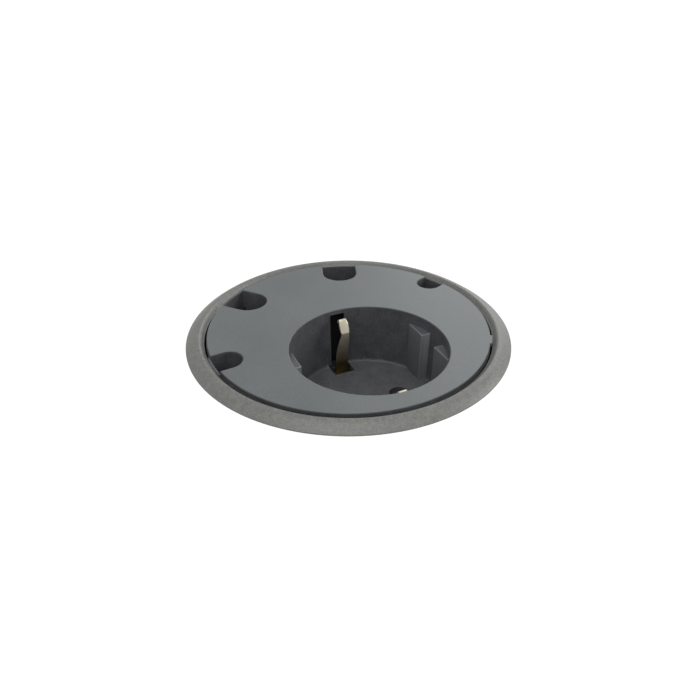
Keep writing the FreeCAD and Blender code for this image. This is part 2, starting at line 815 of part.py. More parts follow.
def make_terminal(name, centre, near, far, top, height):
    """A terminal block with a wire hole along v and a screw hole from below."""
    body = new_body("terminal_" + name)
    place_in_socket(body)
    block = new_sketch(body, height="-(%s)" % top)
    add_rectangle(block, centre + " - terminal_half", near, centre + " + terminal_half", far)
    pad(body, block, height, up=False)
    wire = new_sketch(body, "XZ_Plane", height="-(%s) - cut_margin" % far)
    add_circle(wire, "wire_hole_radius", centre, "-(%s) - wire_drop" % top)
    pocket(body, wire, "%s - (%s) + 2 * cut_margin" % (far, near), up=True)
    hole = new_sketch(body, height="-(%s) - (%s)" % (top, height))
    add_circle(hole, "terminal_screw_radius", centre, "(%s + %s) / 2" % (near, far))
    pocket(body, hole, "%s - wire_drop" % height, up=True)
    return body


def terminal_places():
    """Name, u, near v, far v, top depth and height of each terminal."""
    places = []
    for name, side in TERMINAL_SIDES:
        places.append((name, "%d * pin_offset" % side, "terminal_near", "terminal_far",
                       "terminal_top", "terminal_height"))
    places.append(("earth", "0 * pin_offset", "-terminal_far", "-terminal_near",
                   "bracket_depth", "earth_terminal_height"))
    return places


def make_terminal_screws():
    screws = []
    for name, centre, near, far, top, height in terminal_places():
        screw = make_screw("terminal_screw_" + name, "terminal_screw_radius", "terminal_screw_length")
        place(screw, centre, "(%s + %s) / 2" % (near, far), "-(%s) - (%s)" % (top, height))
        screws.append(screw)
    group = gather("terminal_screws", screws)
    place_in_socket(group)
    return group


def clip_face():
    """Reach and depth of the points along an earth clip's inner face, from its tip down to its foot."""
    points = []
    for k in range(len(CLIP_HEAD)):
        points.append(("(well_radius - clip_inset_%d)" % k, "clip_depth_%d" % k))
    knee = points[-1][1]
    for k in range(len(CLIP_LEG)):
        points.append(("(well_radius - leg_inset_%d)" % k,
                       "(%s + leg_share_%d * (bracket_foot_depth - %s))" % (knee, k, knee)))
    return points


def clip_outline(side):
    """One earth clip's outline in the plane of v and height: down its inner face and back up behind."""
    face = clip_face()
    inner = [("%d * %s" % (side, reach), "-%s" % depth) for reach, depth in face]
    foot = [("%d * bracket_v" % side, "-bracket_foot_depth"),
            ("%d * (bracket_v + clip_thickness)" % side, "-bracket_foot_depth")]
    back = [("%d * (%s + clip_thickness)" % (side, reach), "-%s" % depth) for reach, depth in face[:1:-1]]
    crown = [("%d * (%s + clip_crown_shift)" % (side, face[1][0]), "-%s - clip_thickness" % face[1][1]),
             ("%d * %s" % (side, face[0][0]), "-%s - clip_thickness" % face[0][1])]
    return inner + foot + back + crown


def make_earth_bracket():
    """Two sprung clips on one bent strip that passes below the contact carrier."""
    body = new_body("earth_bracket")
    place_in_socket(body)
    outer = "bracket_v + bracket_thickness"
    strip = new_sketch(body, "YZ_Plane")
    top = "-bracket_foot_depth"
    add_polygon(strip, [
        ("-(%s)" % outer, top + " + bracket_thickness"),
        ("-bracket_foot_v", top + " + bracket_thickness"),
        ("-bracket_foot_v", top),
        ("-bracket_v", top),
        ("-bracket_v", "-carrier_depth"),
        ("bracket_v", "-carrier_depth"),
        ("bracket_v", top),
        ("bracket_foot_v", top),
        ("bracket_foot_v", top + " + bracket_thickness"),
        (outer, top + " + bracket_thickness"),
        (outer, "-bracket_depth"),
        ("-(%s)" % outer, "-bracket_depth"),
    ])
    both_ways_pad(body, strip, "2 * bracket_half_width")
    for side in (1, -1):
        clip = new_sketch(body, "YZ_Plane", height="%d * clip_shift" % side)
        add_polygon(clip, clip_outline(side))
        both_ways_pad(body, clip, "2 * clip_half_width")
    return body


def make_rear_cover():
    body = new_body("rear_cover")
    place_in_socket(body)
    seat = "-insert_depth"
    plate = new_sketch(body, height=seat)
    add_circle(plate, "cup_radius")
    pad(body, plate, "cover_thickness", up=False)
    rim = new_sketch(body, height=seat)
    spigot = "chamber_radius - spigot_clearance"
    add_circle(rim, spigot)
    add_circle(rim, spigot + " - spigot_wall")
    pad(body, rim, "spigot_height")
    relief = new_sketch(body, height=seat)
    for u, v in CORNERS:
        add_circle(relief, "post_radius + post_relief", "%d * post_u" % u, "%d * post_v" % v)
    pocket(body, relief, "spigot_height + cut_margin", up=True)
    pillars = new_sketch(body, height=seat)
    for u in (1, -1):
        add_circle(pillars, "pillar_radius", "%d * pillar_u" % u, "-pillar_v")
    pad(body, pillars, "insert_depth - carrier_depth")
    saddle = new_sketch(body, height=seat)
    add_rectangle(saddle, "-clamp_half_length", "saddle_near", "clamp_half_length", "saddle_far")
    pad(body, saddle, "clamp_height")
    neck = new_sketch(body, height="-cover_depth")
    add_circle(neck, "neck_outer_radius", "0", "cord_v")
    pad(body, neck, "cord_neck_length", up=False)
    through = new_sketch(body, height=seat + " + clamp_height")
    add_circle(through, "cord_radius", "0", "cord_v")
    pocket(body, through, "clamp_height + cover_thickness")
    sleeve = new_sketch(body, height="-grommet_depth")
    add_circle(sleeve, "neck_inner_radius", "0", "cord_v")
    pocket(body, sleeve, "cord_neck_length + cover_thickness", up=True)
    holes = new_sketch(body, height=seat)
    for u, v in CORNERS:
        add_circle(holes, "screw_radius + screw_clearance", "%d * post_u" % u, "%d * post_v" % v)
    pocket(body, holes, "cover_thickness")
    taps = new_sketch(body, "XZ_Plane", height="-saddle_far")
    for u in (1, -1):
        add_circle(taps, "screw_radius", "%d * clamp_screw_u" % u, seat + " + clamp_height / 2")
    pocket(body, taps, "saddle_far - saddle_near", up=True)
    return body


def make_rear_cover_screws():
    screws = []
    for k, (u, v) in enumerate(CORNERS):
        screw = make_screw("rear_cover_screw_%d" % k, "screw_radius", "cover_thickness + cover_screw_grip")
        place(screw, "%d * post_u" % u, "%d * post_v" % v, "-cover_depth")
        screws.append(screw)
    group = gather("rear_cover_screws", screws)
    place_in_socket(group)
    return group


def make_cord_clamp():
    body = new_body("cord_clamp")
    place_in_socket(body)
    bar = new_sketch(body, height="bar_gap - insert_depth")
    add_rectangle(bar, "-clamp_half_length", "clamp_near", "clamp_half_length", "clamp_far")
    pad(body, bar, "clamp_height - bar_gap")
    groove = new_sketch(body, height="-insert_depth")
    add_circle(groove, "cord_radius", "0", "cord_v")
    pocket(body, groove, "clamp_height", up=True)
    holes = new_sketch(body, "XZ_Plane", height="-clamp_far")
    for u in (1, -1):
        add_circle(holes, "screw_radius + screw_clearance", "%d * clamp_screw_u" % u,
                   "-insert_depth + clamp_height / 2")
    pocket(body, holes, "clamp_far - clamp_near", up=True)
    return body


def make_cord_clamp_screws():
    screws = []
    for k, u in enumerate((1, -1)):
        screw = make_screw("cord_clamp_screw_%d" % k, "screw_radius",
                           "clamp_far - saddle_near - clamp_screw_tip_gap", "clamp_screw_head_radius")
        screw.Placement.Rotation = FreeCAD.Rotation(Vector(1, 0, 0), 90)
        screw.setExpression("Placement.Base.x", bound("%d * clamp_screw_u" % u))
        screw.setExpression("Placement.Base.y", bound("clamp_far"))
        screw.setExpression("Placement.Base.z", bound("-insert_depth + clamp_height / 2"))
        screws.append(screw)
    group = gather("cord_clamp_screws", screws)
    place_in_socket(group)
    return group


def make_cord_grommet():
    body = new_body("cord_grommet")
    place_in_socket(body)
    sleeve = new_sketch(body, height="-grommet_depth", y="cord_v")
    add_circle(sleeve, "neck_inner_radius")
    pad(body, sleeve, "grommet_depth - insert_depth")
    lip = new_sketch(body, height="-grommet_depth", y="cord_v")
    add_circle(lip, "grommet_flange_radius")
    pad(body, lip, "grommet_lip", up=False)
    hole = new_sketch(body, height="-insert_depth", y="cord_v")
    add_circle(hole, "cord_radius")
    pocket(body, hole, "grommet_depth - insert_depth + grommet_lip")
    return body


def build_all():
    """Every sub-part, in the order of assembly from the desk surface down."""
    parts = [make_trim_ring(), make_cover_disc(), make_socket_insert(), make_barrel()]
    parts += [make_clamp_washer(), make_clamp_nut(), make_insert_screws()]
    parts += [make_shutter(), make_shutter_spring(), make_contact_carrier()]
    parts += [make_contact(name, side) for name, side in TERMINAL_SIDES]
    parts += [make_terminal(*place_of) for place_of in terminal_places()]
    parts += [make_terminal_screws(), make_earth_bracket(), make_rear_cover()]
    parts += [make_rear_cover_screws(), make_cord_clamp(), make_cord_clamp_screws(), make_cord_grommet()]
    return parts


def faulty_objects():
    """Names of objects that failed to build or hold a bad shape."""
    faulty = []
    for item in doc.Objects:
        broken = "Invalid" in item.State or "Error" in item.State
        shape = getattr(item, "Shape", None)
        if shape is not None and not item.isDerivedFrom("Sketcher::SketchObject"):
            broken = broken or shape.isNull() or not shape.isValid()
        if broken:
            faulty.append(item.Name)
    return faulty


fill_sheet()
finished = build_all()
doc.recompute()
problems = faulty_objects()
if problems:
    raise RuntimeError("these objects did not build: " + ", ".join(problems))
os.makedirs("parts", exist_ok=True)
for part in finished:
    part.Shape.exportStep("parts/%s.step" % part.Label)
    box = part.Shape.BoundBox
    print("%-20s solids %d  volume %9.1f  x %6.1f %6.1f  y %6.1f %6.1f  z %6.1f %6.1f" % (
        part.Label, len(part.Shape.Solids), part.Shape.Volume,
        box.XMin, box.XMax, box.YMin, box.YMax, box.ZMin, box.ZMax))
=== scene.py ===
import bmesh
import bpy
import json
import math
from mathutils import Matrix, Vector


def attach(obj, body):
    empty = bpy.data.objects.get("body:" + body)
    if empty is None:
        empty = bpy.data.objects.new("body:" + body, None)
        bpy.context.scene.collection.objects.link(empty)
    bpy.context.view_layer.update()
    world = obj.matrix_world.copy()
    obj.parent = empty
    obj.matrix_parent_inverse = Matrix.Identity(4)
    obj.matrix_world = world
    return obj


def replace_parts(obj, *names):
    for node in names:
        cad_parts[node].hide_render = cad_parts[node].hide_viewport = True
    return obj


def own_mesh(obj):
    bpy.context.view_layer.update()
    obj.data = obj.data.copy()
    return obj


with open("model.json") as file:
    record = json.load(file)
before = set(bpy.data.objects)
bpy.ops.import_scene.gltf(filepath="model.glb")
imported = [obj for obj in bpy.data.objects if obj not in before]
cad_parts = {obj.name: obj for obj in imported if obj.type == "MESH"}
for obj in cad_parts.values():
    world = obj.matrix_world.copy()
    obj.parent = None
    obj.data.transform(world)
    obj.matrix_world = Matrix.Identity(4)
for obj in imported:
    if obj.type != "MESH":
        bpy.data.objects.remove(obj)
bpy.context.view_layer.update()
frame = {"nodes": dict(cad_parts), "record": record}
NODES = frame["nodes"]
MM = 0.001

# Sizes of the solids, in millimetres and degrees
RING_RADIUS = 43.0
RING_BORE = 38.2
RING_FOOT = 0.3
FLANGE_RADIUS = 42.4
FLANGE_THICKNESS = 0.6
DISC_RADIUS = 37.55
DISC_TOP = 1.78
DISC_BOTTOM = 0.5
KEY_ANGLE = 349.0
KEY_HALF = 2.0
KEY_REACH = 38.05
OPENING_RADIUS = 20.54
SOCKET_X = 5.31
SOCKET_Y = -10.41
SOCKET_ANGLE = 24.93
WELL_RADIUS = 20.15
WELL_DEPTH = 16.2
CUP_RADIUS = 23.2
RIB_CHORD = 17.42
RIB_DEPTH = 1.39
RIB_INNER = 3.04
RIB_OUTER = 10.1
SLOT_HALF = 3.09
SLOT_START = 15.0
SLOT_END = 22.2
PIN_OFFSET = 9.5
PIN_HOLE = 2.7
FLOOR_THICKNESS = 2.2
FLOOR_BOTTOM = -WELL_DEPTH - FLOOR_THICKNESS
DECK_RADIUS = 37.7
DECK_BOTTOM = -2.5
SKIRT_WALL = 1.5
SKIRT_DEPTH = 12.0
SKIRT_REACH = 36.7
CHAMBER_RADIUS = 21.4
INSERT_DEPTH = 46.0
NECK_RADIUS = 39.5
NECK_LENGTH = 8.0
BARREL_RADIUS = 39.0
BARREL_BORE = 37.0
BARREL_DEPTH = 54.0
BARREL_CHAMFER = 0.8
SEAT_DEPTH = 4.0
LUG_TOP = 11.0
LUG_THICKNESS = 3.0
LUG_HALF = 3.6
LUG_HOLE = 1.5
LUG_TURNS = (0, 120, 240)
SCREW_CIRCLE = 33.2
THREAD_PITCH = 3.0
# Each cable notch: its direction, its width and how far its inner end is from the axis
NOTCHES = ((45.5, 6.75, 31.1), (95.0, 10.2, 26.6), (155.0, 10.0, 26.5), (209.0, 7.3, 30.4))

# Sizes of the scene's own pieces
CREST_RADIUS = 39.45
CREST_HEIGHT = 2.1
RING_FACE = [(RING_RADIUS, 0.0), (RING_RADIUS, RING_FOOT), (41.7, 1.2), (40.6, 1.82),
             (CREST_RADIUS, CREST_HEIGHT), (39.05, 1.75), (38.75, 1.3), (RING_BORE + 0.25, 0.95),
             (RING_BORE, 0.8)]
RING_ROUNDING = 0.35
RIM_GAP = 0.08
DISC_EDGE = 0.14
COLLAR_TOP = 1.55
COLLAR_WALL = 0.12
COLLAR_GAP = 0.03
COLLAR_SHORT = 0.25
# Thickness of the dark sheet of painted shade round the disc's rim
RIM_SHADE_SHEET = 0.09
END_WALL_RADIUS = 37.6
END_WALL_TOP = 1.0
END_WALL_MARGIN = 0.6
END_WALL_GAP = 0.05
SKIRT_MARGIN = 0.25
WELL_DRAFT = 0.25
WALL_SLOT_HALF = 2.05
# Thickness and starting distance of the dark sheets of painted shade inside the earth slots
SHADE_LINING = 0.05
SHADE_LINING_START = WELL_RADIUS - 0.08
RIB_CORNER = 0.45
RIB_EDGE = 0.3
RIB_SINK = 0.6
FILLET = 0.45
FILLET_MARGIN = 0.3
OVERLAP = 0.1
LAP = 0.3
HAIR = 0.02
DECK_DROP = 0.002
GROOVE_DEPTH = 0.6
GROOVE_LEVEL = 1.35
GROOVE_SLOPE = 4.4
THREAD_START = 2.0
THREAD_RUNOUT = 1.5
REAR_CLIP_SHIFT = 0.63
FRONT_CLIP_SHIFT = -0.25
CLIP_THICKNESS = 0.75
CLIP_EDGE = 0.22
CLIP_FOOT = -18.6
STRAP_RISE = 0.6
STRAP_BEND = 1.2
STRAP_HALF = 2.7
STRAP_THICKNESS = 0.78
STRAP_REACH = 18.2
STRAP_BOTTOM = -37.0
SHOULDER_REACH = 15.2
# An earth clip's inner face from its curled tip over the crown and knee down to its foot: v and height
CLIP_LINE = [(19.0, -0.85), (18.68, -0.35), (18.13, -0.05), (17.63, -0.25), (17.13, -1.0), (16.58, -2.05),
             (16.12, -2.95), (15.8, -3.65), (15.88, -4.55), (16.23, -5.85), (16.78, -7.55), (17.45, -9.7),
             (18.1, -12.9), (STRAP_REACH, CLIP_FOOT)]
# Half the clip's width at a few heights
CLIP_WIDTHS = ((CLIP_FOOT, 2.1), (-10.0, 1.75), (-7.0, 1.5), (-4.0, 1.1), (-3.0, 1.3), (-1.2, 1.35),
               (-0.05, 1.1))
SOFT_EDGE = 0.15

# The desk, which isn't part of the object
DESK_HOLE = 40.0
DESK_RADIUS = 3000.0
DESK_THICKNESS = 0.5
DESK_DROP = 0.02
DESK_GLOW = 1.12
DESK_GLOW_SHARE = 0.85

# Each lamp's name, place and size in metres, and power in watts; all point at the ring's centre
LAMPS = (
    ("key", (-0.1, -0.35, 0.95), 0.8, 4.5),
    ("rim", (0.9, 0.1, 0.35), 0.4, 3),
    ("back", (0.45, 1.0, 0.5), 0.8, 3),
)
WORLD_LEVEL = 0.5

# The camera that the photograph was taken with, found from its ellipses
CAMERA_DISTANCE = 0.16694
CAMERA_ELEVATION = 31.488
CAMERA_YAW = -0.131
CAMERA_PITCH = -1.796
CAMERA_ROLL = 0.082
FOCAL_PIXELS = 616.75
IMAGE_PIXELS = 700
SENSOR_MM = 36.0

FINE_STEPS = 160
NOTCH_STEPS = 28


def srgb(red, green, blue):
    """A linear colour from 8-bit display values."""
    def linear(level):
        level /= 255
        return level / 12.92 if level <= 0.04045 else ((level + 0.055) / 1.055) ** 2.4
    return (linear(red), linear(green), linear(blue), 1.0)


# Materials

def new_material(name):
    """A new material with its nodes, links and main shader."""
    material = bpy.data.materials.new(name)
    material.use_nodes = True
    nodes = material.node_tree.nodes
    return material, nodes, material.node_tree.links, nodes["Principled BSDF"]


def noise(nodes, links, coordinates, scale, detail=3.0, stretch=None):
    """The value of a noise of so many per metre, stretched along the axes if asked."""
    texture = nodes.new("ShaderNodeTexNoise")
    texture.inputs["Scale"].default_value = scale
    texture.inputs["Detail"].default_value = detail
    source = coordinates
    if stretch:
        mapping = nodes.new("ShaderNodeMapping")
        mapping.inputs["Scale"].default_value = stretch
        links.new(coordinates, mapping.inputs["Vector"])
        source = mapping.outputs["Vector"]
    links.new(source, texture.inputs["Vector"])
    return texture.outputs["Fac"]


def ramp(nodes, links, value, low, high, start=0.3, end=0.7):
    """Colours or greys between low and high as value goes from start to end."""
    node = nodes.new("ShaderNodeValToRGB")
    node.color_ramp.elements[0].position = start
    node.color_ramp.elements[1].position = end
    node.color_ramp.elements[0].color = low
    node.color_ramp.elements[1].color = high
    links.new(value, node.inputs["Fac"])
    return node.outputs["Color"]


def grey(level):
    """A grey as a colour."""
    return (level, level, level, 1.0)


def mixed(nodes, links, share, colour, other):
    """One colour with another laid over it where share is high."""
    mix = nodes.new("ShaderNodeMix")
    mix.data_type = "RGBA"
    links.new(share, mix.inputs["Factor"])
    links.new(colour, mix.inputs["A"])
    mix.inputs["B"].default_value = other
    return mix.outputs["Result"]


def surface(name, low, high, rough, grain, depth, metallic=0.0, wear=None, edges=None, mottle=60.0,
            specular=0.5, speckle=0.25, fade=None):
    """Mottled colour from low to high, roughness between two levels, and a grain of so many per metre and so
    many metres deep. Wear is the colour of faint scuffs, and edges that of painted highlights on convex
    edges. Fade gives the height at which another colour, a painted shade, has taken over, the height where it
    starts to, and that colour."""
    material, nodes, links, shader = new_material(name)
    coordinates = nodes.new("ShaderNodeTexCoord").outputs["Object"]
    cloud = noise(nodes, links, coordinates, mottle, 4.0)
    fine = noise(nodes, links, coordinates, grain, 2.0)
    colour = ramp(nodes, links, cloud, low, high)
    speck = nodes.new("ShaderNodeMix")
    speck.data_type = "RGBA"
    speck.blend_type = "OVERLAY"
    speck.inputs["Factor"].default_value = speckle
    links.new(colour, speck.inputs["A"])
    links.new(ramp(nodes, links, fine, grey(0.38), grey(0.62)), speck.inputs["B"])
    colour = speck.outputs["Result"]
    if wear:
        scuff = noise(nodes, links, coordinates, 260, 3.0, (1.0, 7.0, 1.0))
        colour = mixed(nodes, links, ramp(nodes, links, scuff, grey(0), grey(0.4), 0.64, 0.76), colour, wear)
    # Painted highlight: a lighter colour on convex edges, found from pointiness
    if edges:
        point = nodes.new("ShaderNodeNewGeometry").outputs["Pointiness"]
        colour = mixed(nodes, links, ramp(nodes, links, point, grey(0), grey(0.8), 0.51, 0.58), colour, edges)
    # Painted shade: the colour turns to the fade colour from the top height down to the bottom height
    if fade:
        bottom, top, other = fade
        split = nodes.new("ShaderNodeSeparateXYZ")
        links.new(coordinates, split.inputs["Vector"])
        level = nodes.new("ShaderNodeMapRange")
        level.inputs["From Min"].default_value = top
        level.inputs["From Max"].default_value = bottom
        links.new(split.outputs["Z"], level.inputs["Value"])
        colour = mixed(nodes, links, level.outputs["Result"], colour, other)
    links.new(colour, shader.inputs["Base Color"])
    links.new(ramp(nodes, links, cloud, grey(rough[0]), grey(rough[1])), shader.inputs["Roughness"])
    shader.inputs["Metallic"].default_value = metallic
    shader.inputs["Specular IOR Level"].default_value = specular
    bump = nodes.new("ShaderNodeBump")
    bump.inputs["Strength"].default_value = 0.6
    bump.inputs["Distance"].default_value = depth
    links.new(fine, bump.inputs["Height"])
    links.new(bump.outputs["Normal"], shader.inputs["Normal"])
    return material


MATERIALS = {
    "ring_paint": surface("ring_paint", srgb(110, 110, 108), srgb(122, 122, 118), (0.36, 0.46), 3300, 6e-5,
                          wear=srgb(136, 136, 133), mottle=900.0, speckle=0.85),
    "disc_grey": surface("disc_grey", srgb(98, 103, 104), srgb(105, 110, 111), (0.38, 0.44), 1800, 1e-5,
                         wear=srgb(116, 121, 122), specular=0.5),
    "insert_dark": surface("insert_dark", srgb(80, 81, 84), srgb(92, 93, 96), (0.42, 0.52), 2400, 6e-5,
                           wear=srgb(108, 109, 112), mottle=300.0, specular=0.3, speckle=0.8),
    # Painted highlights: the ribs' and floor fillets' edges are lightened; the base is a darker copy of the
    # moulding's colour
    "rib_dark_painted_highlights": surface("rib_dark_painted_highlights", srgb(64, 65, 68), srgb(74, 75, 79), (0.34, 0.44), 2400, 6e-5,
                        edges=srgb(160, 161, 164), mottle=300.0, specular=0.5, speckle=0.8),
    # Painted shade: a near-black colour for the sheets inside the earth slots, where the slots lie in shade
    "slot_painted_shade": surface("slot_painted_shade", srgb(34, 33, 32), srgb(44, 43, 42), (0.6, 0.7), 1200, 2e-5,
                         specular=0.1),
    "barrel_black": surface("barrel_black", srgb(44, 44, 46), srgb(52, 52, 54), (0.45, 0.6), 1200, 3e-5,
                            wear=srgb(70, 70, 72)),
    "screw_steel": surface("screw_steel", srgb(170, 170, 168), srgb(196, 195, 190), (0.25, 0.4), 3000, 1e-5,
                           metallic=1.0, wear=srgb(210, 210, 206)),
    # Painted shade: the white shutter is given a near-black colour, standing for the shade down in the pin
    # holes
    "shutter_white": surface("shutter_white", srgb(34, 34, 35), srgb(42, 42, 43), (0.4, 0.5), 1500, 1e-5,
                             wear=srgb(54, 54, 55)),
    "carrier_grey": surface("carrier_grey", srgb(150, 150, 146), srgb(164, 163, 158), (0.45, 0.55), 1200,
                            2e-5, wear=srgb(180, 180, 176)),
    "contact_brass": surface("contact_brass", srgb(196, 164, 96), srgb(212, 184, 120), (0.25, 0.42), 2000,
                             1e-5, metallic=1.0, wear=srgb(226, 204, 150)),
    # Painted shade: the clip turns dark olive from its knee down towards its foot, deep in the well
    "clip_brass": surface("clip_brass", srgb(222, 214, 190), srgb(234, 228, 208), (0.3, 0.4), 2600, 4e-6,
                          metallic=0.7, wear=srgb(246, 242, 228), mottle=500.0, speckle=0.1,
                          fade=(-0.015, -0.0035, srgb(96, 84, 52))),
    # Painted shade: a darker copy of the bracket's brass for the strap and shoulders deep under the well
    "strap_brass_painted_shade": surface("strap_brass_painted_shade", srgb(104, 92, 58), srgb(124, 110, 74), (0.4, 0.55), 2600, 4e-6,
                           metallic=1.0, wear=srgb(150, 138, 100), mottle=500.0, speckle=0.1),
    "grommet_rubber": surface("grommet_rubber", srgb(22, 22, 23), srgb(32, 32, 33), (0.6, 0.75), 1500, 2e-5,
                              wear=srgb(44, 44, 45)),
}


# Outlines in millimetres

def turned(points, angle, x=0.0, y=0.0):
    """Points turned by an angle in degrees about the origin, then moved."""
    cos, sin = math.cos(math.radians(angle)), math.sin(math.radians(angle))
    return [(x + cos * px - sin * py, y + sin * px + cos * py) for px, py in points]


def in_socket(points):
    """Points of the socket's own frame, placed in the module."""
    return turned(points, SOCKET_ANGLE, SOCKET_X, SOCKET_Y)


def arc(radius, start, end, x=0.0, y=0.0, steps=None):
    """Points along an arc from start to end, in degrees, both ends included."""
    steps = steps or max(2, int(abs(end - start) / 360 * FINE_STEPS) + 1)
    angles = [math.radians(start + (end - start) * k / steps) for k in range(steps + 1)]
    return [(x + radius * math.cos(a), y + radius * math.sin(a)) for a in angles]


def circle(radius, x=0.0, y=0.0, steps=FINE_STEPS):
    """A closed circle's points, the first not repeated."""
    return arc(radius, 0, 360, x, y, steps)[:-1]


def notched_disc(radius, growth=0.0, key=False):
    """The rim of the disc with its four cable notches, as one loop."""
    events = [(angle, width / 2 + growth, reach + width / 2) for angle, width, reach in NOTCHES]
    loop, last = [], None
    for angle, half, centre in sorted(events):
        spread = math.degrees(math.asin(half / radius))
        if last is not None:
            loop += arc(radius, last, angle - spread)
        loop += turned(arc(half, -90, -270, centre, 0, NOTCH_STEPS), angle)
        last = angle + spread
    first_angle, first_half, _ = sorted(events)[0]
    end = first_angle - math.degrees(math.asin(first_half / radius)) + 360
    if key:
        half = math.degrees(math.asin(KEY_HALF / radius))
        loop += arc(radius, last, KEY_ANGLE - half)
        loop += arc(KEY_REACH, KEY_ANGLE - half, KEY_ANGLE + half)
        last = KEY_ANGLE + half
    return loop + arc(radius, last, end)


def well_outline():
    """The plug well's wall in the socket's own frame, with its two earth slots."""
    slot = math.degrees(math.asin(WALL_SLOT_HALF / WELL_RADIUS))
    mouth = WELL_RADIUS * math.cos(math.radians(slot))
    loop = []
    for middle in (90, 270):
        loop += arc(WELL_RADIUS, middle - 180 + slot, middle - slot)[1:-1]
        loop += turned([(mouth, -WALL_SLOT_HALF), (SLOT_END, -WALL_SLOT_HALF),
                        (SLOT_END, WALL_SLOT_HALF), (mouth, WALL_SLOT_HALF)], middle)
    return loop


# Mesh building

def finish_mesh(name, mesh, material, body, sharp=38.0):
    """An object from a mesh, smooth except at sharp edges and on level faces, riding on a body."""
    mesh.polygons.foreach_set("use_smooth", [abs(face.normal.z) < 0.999 for face in mesh.polygons])
    mesh.set_sharp_from_angle(angle=math.radians(sharp))
    obj = bpy.data.objects.new(name, mesh)
    bpy.context.scene.collection.objects.link(obj)
    mesh.materials.clear()
    mesh.materials.append(MATERIALS[material])
    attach(obj, body)
    return obj


def plate_mesh(outer, holes, bottom, top, bevel=0.0, rounding=2):
    """A flat plate between two heights with softened edges, all in millimetres."""
    curve = bpy.data.curves.new("plate", "CURVE")
    curve.dimensions = "2D"
    curve.fill_mode = "BOTH"
    curve.extrude = (top - bottom) / 2 * MM - bevel * MM
    curve.bevel_depth = bevel * MM
    curve.bevel_resolution = rounding
    curve.offset = -bevel * MM
    for loop in [outer] + list(holes):
        spline = curve.splines.new("POLY")
        spline.points.add(len(loop) - 1)
        spline.use_cyclic_u = True
        for point, (x, y) in zip(spline.points, loop):
            point.co = (x * MM, y * MM, 0, 1)
    holder = bpy.data.objects.new("plate", curve)
    bpy.context.scene.collection.objects.link(holder)
    bpy.context.view_layer.update()
    mesh = bpy.data.meshes.new_from_object(holder)
    bpy.data.objects.remove(holder)
    bpy.data.curves.remove(curve)
    mesh.transform(Matrix.Translation((0, 0, (top + bottom) / 2 * MM)))
    return mesh


def lathe_mesh(profile, steps=FINE_STEPS, x=0.0, y=0.0, span=None):
    """A closed profile, pairs of radius and height in millimetres, turned about an upright axis.
    The profile may be a function of the angle, and span gives the first and last angle of a part turn."""
    start, end = [math.radians(a) for a in span or (0, 360)]
    build = bmesh.new()
    rings = []
    for k in range(steps + 1 if span else steps):
        angle = start + (end - start) * k / steps
        cos, sin = math.cos(angle), math.sin(angle)
        points = profile(angle) if callable(profile) else profile
        rings.append([build.verts.new(((x + r * cos) * MM, (y + r * sin) * MM, z * MM)) for r, z in points])
    count = len(rings[0])
    for k in range(steps):
        here, there = rings[k], rings[(k + 1) % len(rings)]
        for i in range(count):
            j = (i + 1) % count
            build.faces.new((here[i], there[i], there[j], here[j]))
    if span:
        build.faces.new(rings[0])
        build.faces.new(rings[-1])
    bmesh.ops.recalc_face_normals(build, faces=build.faces)
    mesh = bpy.data.meshes.new("lathe")
    build.to_mesh(mesh)
    build.free()
    return mesh


def joined(meshes):
    """One mesh out of several."""
    build = bmesh.new()
    for mesh in meshes:
        build.from_mesh(mesh)
        bpy.data.meshes.remove(mesh)
    mesh = bpy.data.meshes.new("joined")
    build.to_mesh(mesh)
    build.free()
    return mesh


def rounded(points, radius, steps=4):
    """An open line of points with each inner corner rounded."""
    line = [points[0]]
    for before, here, after in zip(points, points[1:], points[2:]):
        a, b, c = Vector(before), Vector(here), Vector(after)
        cut = min(radius, (a - b).length / 2.2, (c - b).length / 2.2)
        start, end = b + (a - b).normalized() * cut, b + (c - b).normalized() * cut
        for k in range(steps + 1):
            t = k / steps
            line.append(tuple(start * (1 - t) ** 2 + b * (2 * t * (1 - t)) + end * t ** 2))
    return line + [points[-1]]


def strip_mesh(line, half_width, thickness, shift=0.0):
    """A bent strip along a line of (v, height) points in the socket's frame, in millimetres.
    Half its width may be a function of the height."""
    build = bmesh.new()
    sections = []
    for k, (v, z) in enumerate(line):
        before, after = Vector(line[max(k - 1, 0)]), Vector(line[min(k + 1, len(line) - 1)])
        along = (after - before).normalized()
        side = Vector((-along.y, along.x)) * thickness
        corners = []
        half = half_width(z) if callable(half_width) else half_width
        for u, depth in ((-half, 0), (half, 0), (half, 1), (-half, 1)):
            place = in_socket([(u + shift, v + side.x * depth)])[0]
            corners.append(build.verts.new((place[0] * MM, place[1] * MM, (z + side.y * depth) * MM)))
        sections.append(corners)
    for here, there in zip(sections, sections[1:]):
        for i in range(4):
            j = (i + 1) % 4
            build.faces.new((here[i], here[j], there[j], there[i]))
    build.faces.new(sections[0])
    build.faces.new(sections[-1])
    bmesh.ops.recalc_face_normals(build, faces=build.faces)
    steep = math.radians(60)
    long_edges = [e for e in build.edges if len(e.link_faces) == 2 and e.calc_face_angle(0) > steep]
    bmesh.ops.bevel(build, geom=long_edges, offset=CLIP_EDGE * MM, segments=3, affect="EDGES", profile=0.5)
    mesh = bpy.data.meshes.new("strip")
    build.to_mesh(mesh)
    build.free()
    return mesh


# Pieces

def make_ring():
    """The trim ring's domed face with its steep inner slope."""
    top = rounded(RING_FACE, RING_ROUNDING)
    under = [(RING_BORE, FLANGE_THICKNESS), (FLANGE_RADIUS, FLANGE_THICKNESS), (FLANGE_RADIUS, 0.0)]
    mesh = lathe_mesh(top + under, 256)
    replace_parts(finish_mesh("trim_ring_face", mesh, "ring_paint", "housing", 50), "trim_ring")


